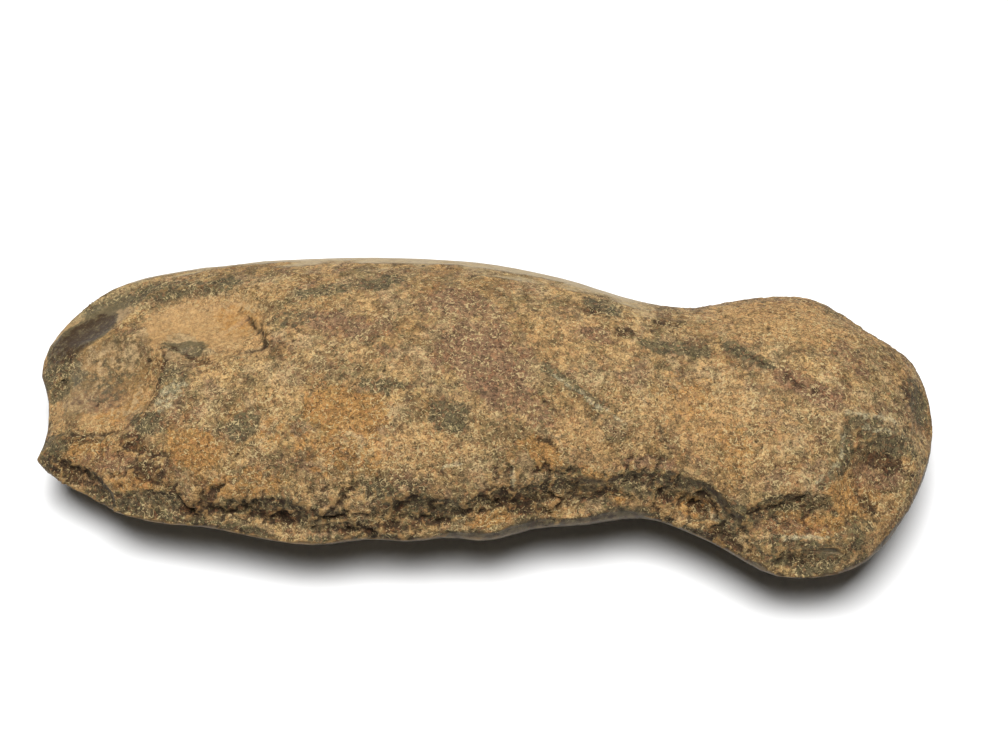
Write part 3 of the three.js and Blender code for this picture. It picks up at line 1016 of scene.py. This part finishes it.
@dataclass(frozen=True)
class Effects:
    """The shader node groups that the finishes share."""

    grain: bpy.types.NodeTree
    fibres: bpy.types.NodeTree
    fringe: bpy.types.NodeTree

    @classmethod
    def build(cls) -> "Effects":
        """Makes every group once."""
        return cls(cls._grain(), cls._fibres(), cls._fringe())

    @staticmethod
    def _grain() -> bpy.types.NodeTree:
        """Crystals of stone, each of its own tone and hue, with fine grit over them."""
        sheet, given, result = group(
            "stone_grain",
            {"Place": ("NodeSocketVector", None)},
            {"Tone": "NodeSocketFloat", "Hue": "NodeSocketFloat", "Relief": "NodeSocketFloat"},
        )
        place = given.outputs["Place"]
        bend, reach, crystal = 0.7 * METRE, 1.5 * METRE, 0.62 * METRE
        wander = {"Vector": place, "Scale": 1.0 / bend, "Detail": 2.0}
        push = sheet.node("ShaderNodeTexNoise", wander).outputs["Color"]
        push = sheet.vector("SUBTRACT", push, (0.5, 0.5, 0.5))
        push = sheet.vector("MULTIPLY", push, (reach, reach, reach))
        moved = sheet.vector("ADD", place, push)
        crystals = sheet.node("ShaderNodeTexVoronoi", {"Vector": moved, "Scale": 1.0 / crystal})
        own = sheet.node("ShaderNodeSeparateColor", {0: crystals.outputs["Color"]})
        grit = sheet.noise(place, 0.34, 2.0)
        clump = sheet.noise(sheet.shifted(place, 9.0), 1.5, 3.0)
        tone = sheet.math("MULTIPLY", own.outputs[0], 0.45)
        tone = sheet.math("ADD", tone, sheet.ease(grit, 0.3, 0.7, (0.0, 0.35)))
        tone = sheet.math("ADD", tone, sheet.ease(clump, 0.32, 0.68, (0.0, 0.2)))
        sheet.put(result.inputs["Tone"], tone)
        sheet.put(result.inputs["Hue"], own.outputs[1])
        relief = sheet.math("ADD", sheet.math("MULTIPLY", own.outputs[2], 0.35), grit)
        sheet.put(result.inputs["Relief"], relief)
        return sheet.tree

    @staticmethod
    def _fibres() -> bpy.types.NodeTree:
        """Short curved fibres lying in every direction, pale or dark."""
        sheet, given, result = group(
            "stone_fibres",
            {
                "Place": ("NodeSocketVector", None),
                "Seed": ("NodeSocketFloat", 0.0),
                "Spread": ("NodeSocketFloat", 0.5),
            },
            {"Fibres": "NodeSocketFloat"},
        )
        seed = given.outputs["Seed"]
        step = sheet.node("ShaderNodeCombineXYZ", {0: seed, 1: seed}).outputs[0]
        place = sheet.vector("ADD", given.outputs["Place"], step)
        total: object = 0.0
        for number, (lumps, half_width) in enumerate(((2.3, 0.022), (1.3, 0.034))):
            spot = sheet.shifted(place, 21.0 * (number + 1))
            level = sheet.math("SUBTRACT", sheet.noise(spot, lumps, 1.0, 0.5), 0.5)
            line = sheet.ease(sheet.math("ABSOLUTE", level), half_width, 0.3 * half_width)
            here = sheet.noise(sheet.shifted(spot, 5.0), 0.7, 1.0, 0.4)
            held = sheet.math("ADD", here, sheet.math("MULTIPLY", given.outputs["Spread"], 0.2))
            fibre = sheet.math("MULTIPLY", line, sheet.ease(held, 0.6, 0.68))
            total = sheet.math("MAXIMUM", total, fibre)
        sheet.put(result.inputs["Fibres"], total)
        return sheet.tree

    @staticmethod
    def _fringe() -> bpy.types.NodeTree:
        """Breaks the edge of a soft mask up into specks, as a stain in stone has."""
        sheet, given, result = group(
            "stain_fringe",
            {
                "Mask": ("NodeSocketFloat", 0.0),
                "Break": ("NodeSocketFloat", 0.5),
                "Softness": ("NodeSocketFloat", 0.3),
            },
            {"Mask": "NodeSocketFloat"},
        )
        mask, soft = given.outputs["Mask"], given.outputs["Softness"]
        broken = sheet.math("MULTIPLY", sheet.math("SUBTRACT", given.outputs["Break"], 0.5), 2.0)
        held = sheet.math("SUBTRACT", sheet.math("MULTIPLY", mask, 1.15), broken)
        eased = sheet.ease(held, sheet.math("SUBTRACT", 0.5, soft), sheet.math("ADD", 0.5, soft))
        inside = sheet.ease(mask, 0.0, 0.15)
        sheet.put(result.inputs["Mask"], sheet.math("MULTIPLY", eased, inside))
        return sheet.tree


@dataclass(frozen=True)
class StoneFinish:
    """Tan patina over grey-green stone, stained in patches and speckled all over, with painted
    shade in its hollows and a painted highlight on its crests.
    """

    name: str = "weathered_stone"
    tan: tuple[str, str] = ("745d3c", "9e845e")  # the patina's darker and lighter parts
    tint: tuple[str, str] = ("66603a", "8a5a38")  # what single crystals lean towards
    tan_size: float = 9.0
    tint_share: float = 0.35
    crowd: tuple[float, float] = (0.2, 0.75)  # how dense the pale fibres lie, at least and at most
    crowd_size: float = 11.0
    # dark: the dark fibres, and the painted shade in the hollows of the carved skin
    dark: str = "30200f"
    needle: str = "c4ad7c"
    # a painted highlight, lightening the crests of the carved skin
    crest_highlight: str = "b48c55"
    tone: tuple[float, float] = (0.42, 1.66)  # the darkest and lightest crystals
    stains: dict[Pigment, tuple[str, float]] = field(
        default_factory=lambda: {
            BARE: ("9e7c50", 0.9),
            OCHRE: ("966c38", 0.75),
            PLUM: ("6d513c", 0.8),
            GROUND: ("96825c", 0.85),
            OLIVE: ("4c4530", 0.85),
            CHALK: ("aca07e", 0.7),
            UMBER: ("2d1b0a", 0.85),
        }
    )
    mottles: tuple[tuple[str, float, float], ...] = (  # colour, width in millimetres, share
        ("6d513c", 6.5, 0.55),
        ("5c5334", 4.6, 0.4),
        ("946e3e", 7.5, 0.4),
        ("b08e5c", 5.6, 0.5),
        ("3a2712", 2.6, 0.4),
    )
    roughness: tuple[float, float] = (0.80, 0.48)  # of the patina and of the ground stone
    glint: float = 0.3
    relief: float = 1.0 * METRE

    def material(self, effects: Effects) -> bpy.types.Material:
        """Makes the stone.

        Args:
            effects: The shared shader groups.

        Returns:
            The material.
        """
        made = bpy.data.materials.new(self.name)
        made.use_nodes = True
        sheet = NodeSheet(made.node_tree)
        place = sheet.node("ShaderNodeTexCoord").outputs["Object"]
        masks = {
            key: sheet.node("ShaderNodeAttribute", attribute_name=key).outputs["Fac"]
            for key in [*(p.value for p in Pigment), "hollow", "polish"]
        }
        polish = masks["polish"]
        dull = sheet.math("SUBTRACT", 1.0, polish)
        grain = sheet.node("ShaderNodeGroup", node_tree=effects.grain)
        sheet.put(grain.inputs["Place"], place)
        crowd = sheet.noise(sheet.shifted(place, 33.0), self.crowd_size, 3.0)
        crowd = sheet.ease(crowd, 0.4, 0.6, self.crowd)
        pale = self._fibres(sheet, effects, place, 0.0, crowd)
        dark = self._fibres(sheet, effects, place, 0.2, 0.5)
        fine = sheet.noise(place, 1.3, 6.0, 0.3)

        cloud = sheet.noise(place, self.tan_size, 6.0, 0.6)
        colour = sheet.mix(sheet.ease(cloud, 0.36, 0.64), *map(linear, self.tan))
        patches = []
        for number, (name, width, share) in enumerate(self.mottles):
            spot = sheet.noise(sheet.shifted(place, 60.0 + 40.0 * number), width, 3.0, 0.5)
            mask = sheet.math("MULTIPLY", sheet.ease(spot, 0.46, 0.64), dull)
            patches.append((mask, name, share))
        patches += [(masks[pigment.value], *look) for pigment, look in self.stains.items()]
        for mask, name, share in patches:
            fringe = sheet.node("ShaderNodeGroup", node_tree=effects.fringe)
            sheet.put(fringe.inputs["Mask"], mask)
            sheet.put(fringe.inputs["Break"], fine)
            held = sheet.math("MULTIPLY", fringe.outputs[0], share)
            colour = sheet.mix(held, colour, linear(name))
        hue = grain.outputs["Hue"]
        for name, bounds in zip(self.tint, ((0.7, 1.0), (0.3, 0.0))):
            lean = sheet.math("MULTIPLY", dull, sheet.ease(hue, *bounds, (0.0, self.tint_share)))
            colour = sheet.mix(lean, colour, linear(name))
        calm = tuple(1.0 + 0.35 * (bound - 1.0) for bound in self.tone)
        lively = sheet.ease(grain.outputs["Tone"], 0.0, 1.0, self.tone)
        quiet = sheet.ease(grain.outputs["Tone"], 0.0, 1.0, calm)
        colour = sheet.mix(1.0, colour, sheet.mix(polish, lively, quiet), "MULTIPLY")
        keep = sheet.ease(polish, 0.0, 1.0, (0.7, 0.12))
        colour = sheet.mix(sheet.math("MULTIPLY", dark, keep), colour, linear(self.dark))
        colour = sheet.mix(sheet.math("MULTIPLY", pale, keep), colour, linear(self.needle))
        hollow = masks["hollow"]
        # Painted shade: the hollows of the carved skin are darkened.
        colour = sheet.mix(sheet.ease(hollow, 0.55, 1.0, (0.0, 0.7)), colour, linear(self.dark))
        # Painted highlight: the crests of the carved skin are lightened.
        colour = sheet.mix(sheet.ease(hollow, 0.42, 0.0, (0.0, 0.4)), colour, linear(self.crest_highlight))

        height = sheet.math("ADD", sheet.math("MULTIPLY", grain.outputs["Relief"], 0.4), fine)
        height = sheet.math("MULTIPLY", height, sheet.ease(polish, 0.0, 1.0, (1.0, 0.12)))
        bump = sheet.node(
            "ShaderNodeBump", {"Strength": 0.8, "Distance": self.relief, "Height": height}
        )
        shader = sheet.node(
            "ShaderNodeBsdfPrincipled",
            {
                "Base Color": colour,
                "Roughness": sheet.ease(polish, 0.0, 1.0, self.roughness),
                "Normal": bump.outputs[0],
                "IOR": 1.5,
                "Specular IOR Level": self.glint,
            },
        )
        output = sheet.node("ShaderNodeOutputMaterial")
        sheet.put(output.inputs["Surface"], shader.outputs[0])
        return made

    @staticmethod
    def _fibres(
        sheet: NodeSheet, effects: Effects, place: object, seed: float, spread: object
    ) -> object:
        """Adds one set of fibres.

        Args:
            sheet: The material's sheet.
            effects: The shared shader groups.
            place: Where the fibres are read.
            seed: Picks one set.
            spread: How many there are.

        Returns:
            Their mask.
        """
        fibres = sheet.node("ShaderNodeGroup", node_tree=effects.fibres)
        sheet.put(fibres.inputs["Place"], place)
        sheet.put(fibres.inputs["Seed"], seed)
        sheet.put(fibres.inputs["Spread"], spread)
        return fibres.outputs[0]


@dataclass(frozen=True)
class TableFinish:
    """Plain white card."""

    name: str = "white_table"
    tone: float = 0.86
    mottle: float = 0.01
    mottle_size: float = 30.0
    roughness: float = 0.85

    def material(self) -> bpy.types.Material:
        """Makes the card."""
        made = bpy.data.materials.new(self.name)
        made.use_nodes = True
        sheet = NodeSheet(made.node_tree)
        place = sheet.node("ShaderNodeTexCoord").outputs["Object"]
        tones = (self.tone - self.mottle, self.tone + self.mottle)
        mottle = sheet.ease(sheet.noise(place, self.mottle_size, 3.0), 0.2, 0.8, tones)
        inputs = {"Base Color": mottle, "Roughness": self.roughness}
        shader = sheet.node("ShaderNodeBsdfPrincipled", inputs)
        output = sheet.node("ShaderNodeOutputMaterial")
        sheet.put(output.inputs["Surface"], shader.outputs[0])
        return made


# ------------------------------------------------------------------ the axe head


@dataclass
class AxeHead:
    """The stone itself."""

    solid: bpy.types.Object
    name: str = "stone_head"
    voxel: float = 0.54
    slot: str = "stone"
    hollow_span: int = 6  # rounds of blurring that a hollow is judged against
    hollow_depth: float = 0.2
    near_shade_dark: float = 0.22  # how dark the painted shade on the near side is
    # how much olive the painted shade on the near side carries
    near_shade_olive: float = 0.6
    piece: bpy.types.Object | None = None

    def build(self) -> None:
        """Covers the solid with a fine, even mesh and carves it."""
        mesh = self._even_mesh()
        skin = Skin.read(mesh)
        carving = Carving(skin)
        height = carving.height()
        # Painted shade: skin leaning to the near side is darkened with umber and olive.
        near_shade = carving.near_side_shade()
        carving.earth_and_shade = np.maximum(carving.earth_and_shade, self.near_shade_dark * near_shade)
        pigments = Staining(skin).masks(carving.earth_and_shade, *carving.polish())
        pigments[OLIVE] = np.maximum(pigments[OLIVE], self.near_shade_olive * near_shade)
        carved = skin.points + skin.normals * height[:, None]
        carved[:, 2] = np.maximum(carved[:, 2], np.minimum(skin.points[:, 2], 0.0))
        low, high = (np.array(corner) / METRE for corner in CAD_BOX)
        carved = np.clip(carved, low, high)
        mesh.vertices.foreach_set("co", (carved * METRE).ravel())
        mesh.update()
        masks = {pigment.value: mask for pigment, mask in pigments.items()}
        masks["hollow"] = self._hollows(skin, carved)
        masks["polish"] = carving.textures()[Texture.SMOOTH]
        for label, mask in masks.items():
            layer = mesh.attributes.new(label, "FLOAT", "POINT")
            layer.data.foreach_set("value", np.clip(mask, 0.0, 1.0).astype(np.float32))
        mesh.shade_smooth()
        self.piece = bpy.data.objects.new(self.name, mesh)
        bpy.context.scene.collection.objects.link(self.piece)
        log.info("%s: %d points, %d faces", self.name, len(mesh.vertices), len(mesh.polygons))

    def _even_mesh(self) -> bpy.types.Mesh:
        """A mesh of small even squares with the solid's form.

        Returns:
            The mesh, in metres.
        """
        copy = bpy.data.objects.new("form", self.solid.data.copy())
        bpy.context.scene.collection.objects.link(copy)
        remesh = copy.modifiers.new("even", "REMESH")
        remesh.mode = "VOXEL"
        remesh.voxel_size = self.voxel * METRE
        remesh.adaptivity = 0.0
        evaluated = copy.evaluated_get(bpy.context.evaluated_depsgraph_get())
        mesh = bpy.data.meshes.new_from_object(evaluated)
        bpy.data.objects.remove(copy)
        mesh.name = self.name
        mesh.materials.clear()
        return mesh

    def _hollows(self, skin: Skin, carved: np.ndarray) -> np.ndarray:
        """Where the carved skin is hollow, which the finish darkens as painted shade, and where it
        is a crest, which the finish lightens as a painted highlight.

        Args:
            skin: The skin before carving.
            carved: The carved points, in millimetres.

        Returns:
            0 on crests, 0.5 on the flat and 1 in hollows.
        """
        lift = ((skin.blur(carved, self.hollow_span) - carved) * skin.normals).sum(axis=1)
        return 0.5 + 0.5 * lift / self.hollow_depth

    def dress(self, finish: StoneFinish, effects: Effects) -> None:
        """Gives the stone its finish and its place in the frame.

        Args:
            finish: The finish.
            effects: The shared shader groups.
        """
        self.piece.data.materials.append(finish.material(effects))
        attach(self.piece, "root")
        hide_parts("axe_head")


# ------------------------------------------------------------------ the studio


@dataclass
class Studio:
    """The table, the light and the camera."""

    table_half: float = 3.0
    azimuth: float = 4.4
    elevation: float = 55.0
    distance: float = 0.357
    lens: float = 60.0
    aim: Vector = field(default_factory=lambda: Vector((0.0050, 0.0050, 0.0170)))
    sky: float = 0.04
    wall: float = 0.8  # how bright the backdrop itself looks
    key_power: float = 13.5
    key_size: float = 0.6
    key_at: Vector = field(default_factory=lambda: Vector((-0.03, 0.03, 0.86)))

    def lay_table(self) -> None:
        """Lays the table under the head."""
        half = self.table_half
        mesh = bpy.data.meshes.new("table")
        corners = [(-half, -half, 0.0), (half, -half, 0.0), (half, half, 0.0), (-half, half, 0.0)]
        mesh.from_pydata(corners, [], [(0, 1, 2, 3)])
        mesh.materials.append(TableFinish().material())
        table = bpy.data.objects.new("table", mesh)
        bpy.context.scene.collection.objects.link(table)

    def light(self) -> None:
        """Hangs one broad lamp over the head, under a pale sky."""
        world = bpy.data.worlds.new("sky")
        world.use_nodes = True
        sheet = NodeSheet(world.node_tree)
        seen = sheet.node("ShaderNodeLightPath").outputs["Is Camera Ray"]
        lit = sheet.node("ShaderNodeBackground", {"Color": WHITE, "Strength": self.sky})
        wall = sheet.node("ShaderNodeBackground", {"Color": WHITE, "Strength": self.wall})
        sky = sheet.node("ShaderNodeMixShader", {0: seen, 1: lit.outputs[0], 2: wall.outputs[0]})
        sheet.node("ShaderNodeOutputWorld", {"Surface": sky.outputs[0]})
        bpy.context.scene.world = world
        lamp = bpy.data.lights.new("key", "AREA")
        lamp.energy = self.key_power
        lamp.size = self.key_size
        key = bpy.data.objects.new("key", lamp)
        key.location = self.key_at
        key.rotation_euler = self.key_at.to_track_quat("Z", "Y").to_euler()
        bpy.context.scene.collection.objects.link(key)
        bpy.context.scene.view_settings.view_transform = "Standard"

    def place_camera(self) -> None:
        """Points the camera down at the head from its near side."""
        a, e = math.radians(self.azimuth), math.radians(self.elevation)
        back = Vector((math.sin(a) * math.cos(e), -math.cos(a) * math.cos(e), math.sin(e)))
        data = bpy.data.cameras.new("camera")
        data.lens = self.lens
        data.clip_start = 0.01
        camera = bpy.data.objects.new("camera", data)
        camera.location = self.aim + back * self.distance
        camera.rotation_euler = back.to_track_quat("Z", "Y").to_euler()
        bpy.context.scene.collection.objects.link(camera)
        bpy.context.scene.camera = camera


def main() -> None:
    """Builds the head and the studio round it."""
    logging.basicConfig(level=logging.INFO, format="%(message)s")
    studio = Studio()
    studio.place_camera()
    head = AxeHead(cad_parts["axe_head"])
    head.build()
    head.dress(StoneFinish(), Effects.build())
    studio.lay_table()
    studio.light()
    log.info("table, light and camera placed")


if __name__ == "__main__":
    main()
